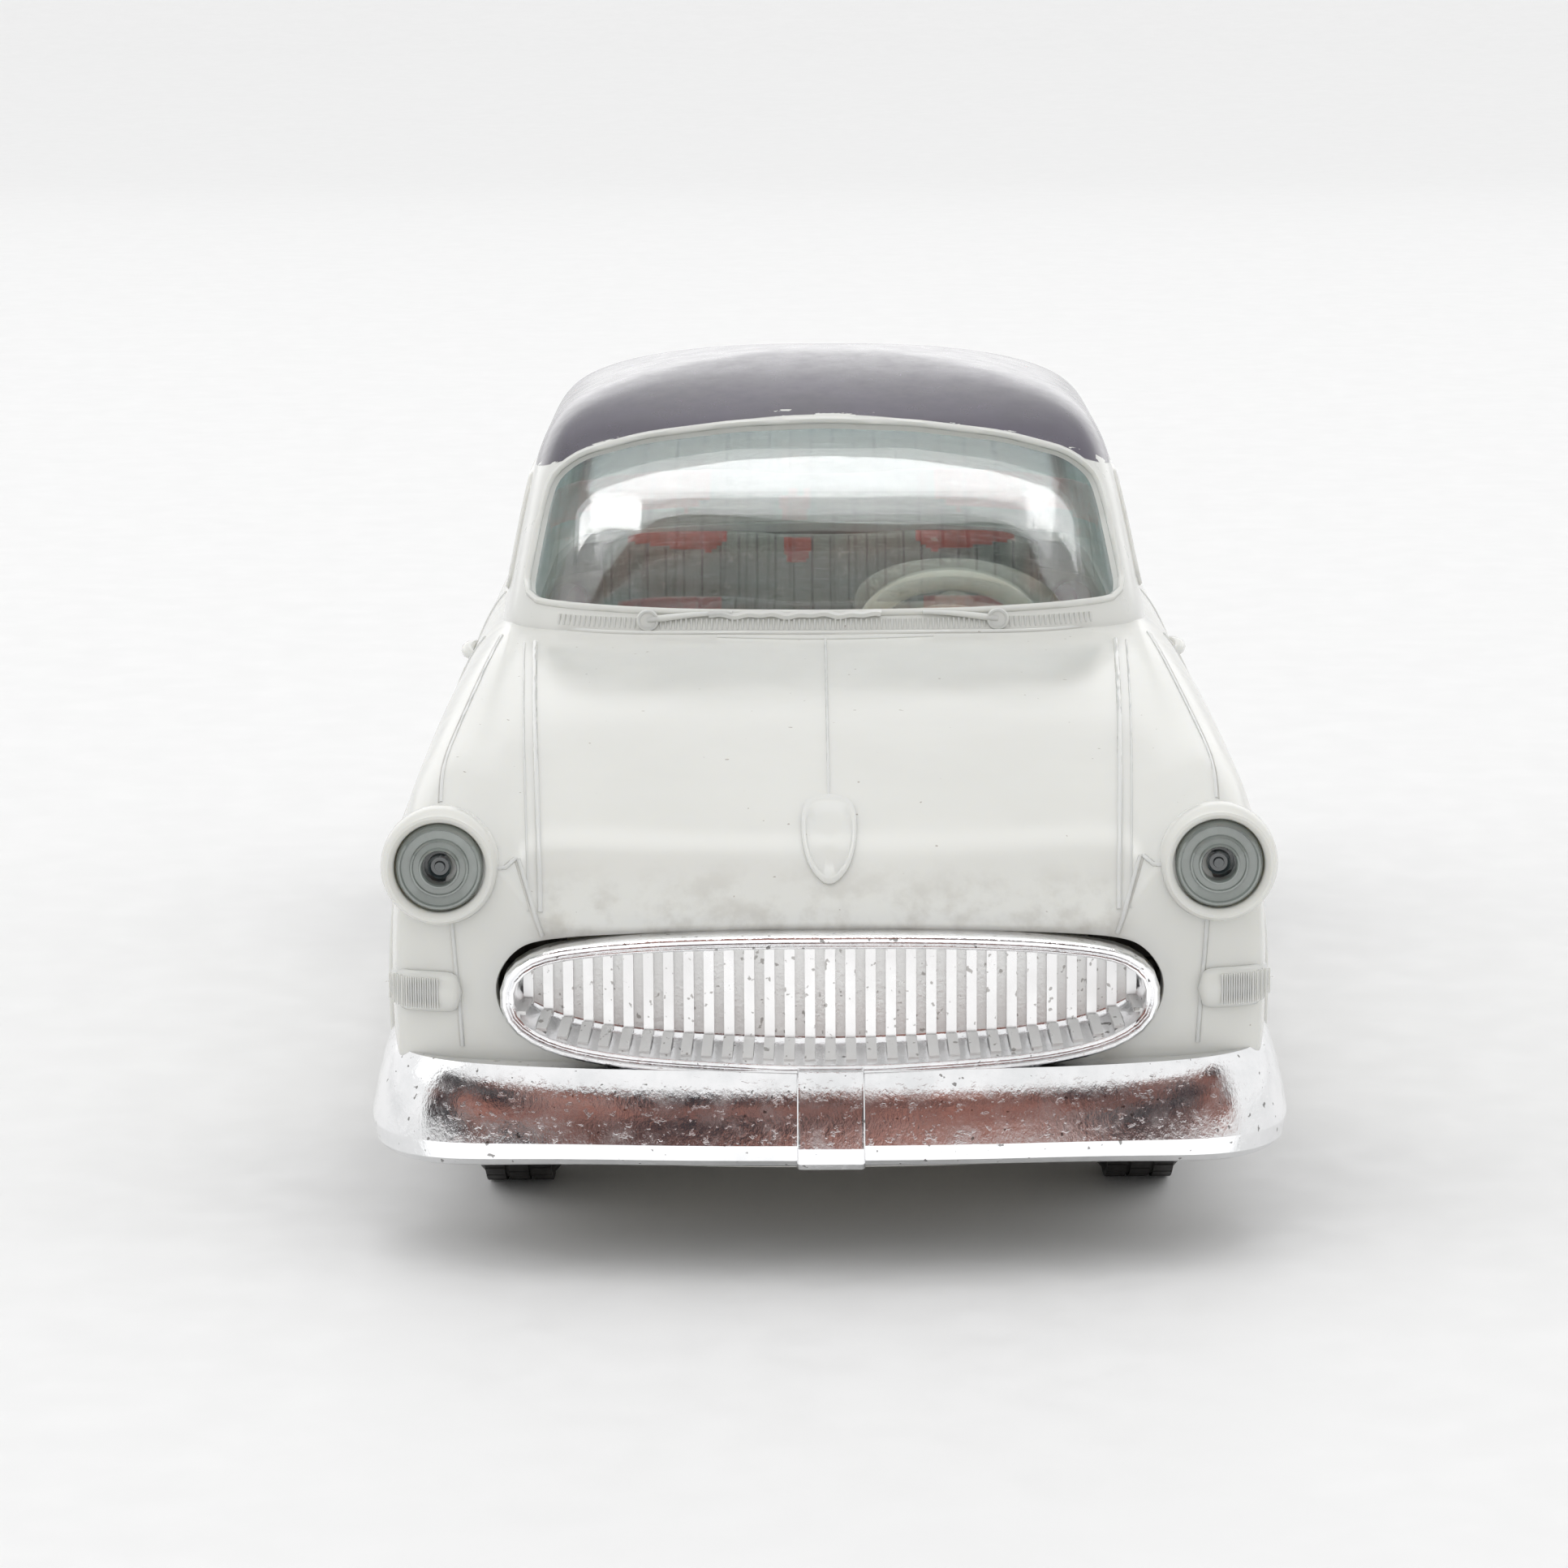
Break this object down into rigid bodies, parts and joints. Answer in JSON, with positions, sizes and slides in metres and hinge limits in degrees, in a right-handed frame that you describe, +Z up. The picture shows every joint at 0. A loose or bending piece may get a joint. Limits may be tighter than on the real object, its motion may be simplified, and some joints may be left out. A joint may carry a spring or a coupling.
{
  "type": "friction toy car",
  "caption": "Friction-drive toy saloon car: light moulded body with a dark roof, clear glazing, plated bumper and grille, rubber tyres, printed seats and a flywheel motor on a tin base.",
  "frame": {"origin": "under the middle of the car, on the surface that its tyres stand on", "axes": "front towards -Y, left side (driver) towards +X, +Z up"},
  "size_m": [0.0896, 0.236, 0.0781],
  "materials": {
    "body": "gloss",
    "clear": "clear gloss",
    "plating": "plated gloss",
    "fitting": "satin",
    "tin_floor": "printed",
    "seat_tin": "printed",
    "tin_base": "lacquered",
    "steel": "zinc",
    "lens": "gloss",
    "red_lens": "gloss",
    "rubber": "matt",
    "rim": "gloss",
    "gear": "satin",
    "brass": "bright"
  },
  "bodies": {
    "car_body": {"body_shell": "body", "window_glazing": "clear", "front_bumper_grille": "plating", "rear_bumper": "plating", "dashboard": "fitting", "interior_floor": "tin_floor", "front_seat": "seat_tin", "rear_seat": "seat_tin", "base_plate": "tin_base", "base_screws": "steel", "front_axle_bracket": "steel", "bracket_rivets": "steel", "motor_pillars": "steel", "motor_rivets": "steel", "headlight_lens_left": "lens", "headlight_lens_right": "lens", "tail_light_left": "red_lens", "tail_light_right": "red_lens", "motor_plate_left": "steel", "motor_plate_right": "steel"},
    "steering_assembly": {"steering_wheel": "fitting", "steering_column": "fitting"},
    "front_wheelset": {"front_axle": "steel", "front_axle_spacers": "fitting", "front_tyre_left": "rubber", "front_rim_left": "rim", "front_hubcap_left": "plating", "front_tyre_right": "rubber", "front_rim_right": "rim", "front_hubcap_right": "plating"},
    "rear_wheelset": {"rear_axle": "steel", "rear_axle_spacers": "fitting", "rear_tyre_left": "rubber", "rear_rim_left": "rim", "rear_hubcap_left": "plating", "rear_tyre_right": "rubber", "rear_rim_right": "rim", "rear_hubcap_right": "plating", "drive_gear": "gear"},
    "countershaft_assembly": {"countershaft": "steel", "counter_gear": "gear", "counter_pinion": "brass"},
    "flywheel_assembly": {"flywheel_shaft": "steel", "flywheel_pinion": "brass", "flywheel_left": "steel", "flywheel_right": "steel"}
  },
  "joints": [
    {"name": "steering_turn", "type": "hinge", "parent": "car_body", "child": "steering_assembly", "pos_m": [0.0138, -0.023, 0.0482], "axis": [0, 0.766, 0.6428], "continuous": true},
    {"name": "front_wheels_spin", "type": "hinge", "parent": "car_body", "child": "front_wheelset", "pos_m": [0, -0.075, 0.015], "axis": [1, 0, 0], "continuous": true},
    {"name": "flywheel_spin", "type": "hinge", "parent": "car_body", "child": "flywheel_assembly", "pos_m": [0, 0.04079, 0.02309], "axis": [1, 0, 0], "continuous": true},
    {"name": "countershaft_spin", "type": "hinge", "parent": "car_body", "child": "countershaft_assembly", "pos_m": [0, 0.05217, 0.01894], "axis": [1, 0, 0], "continuous": true},
    {"name": "rear_wheels_spin", "type": "hinge", "parent": "car_body", "child": "rear_wheelset", "pos_m": [0, 0.063, 0.015], "axis": [1, 0, 0], "continuous": true}
  ],
  "couplings": [
    {"joint": "countershaft_spin", "follows": "rear_wheels_spin", "ratio": -2.8},
    {"joint": "flywheel_spin", "follows": "rear_wheels_spin", "ratio": 8.4}
  ]
}
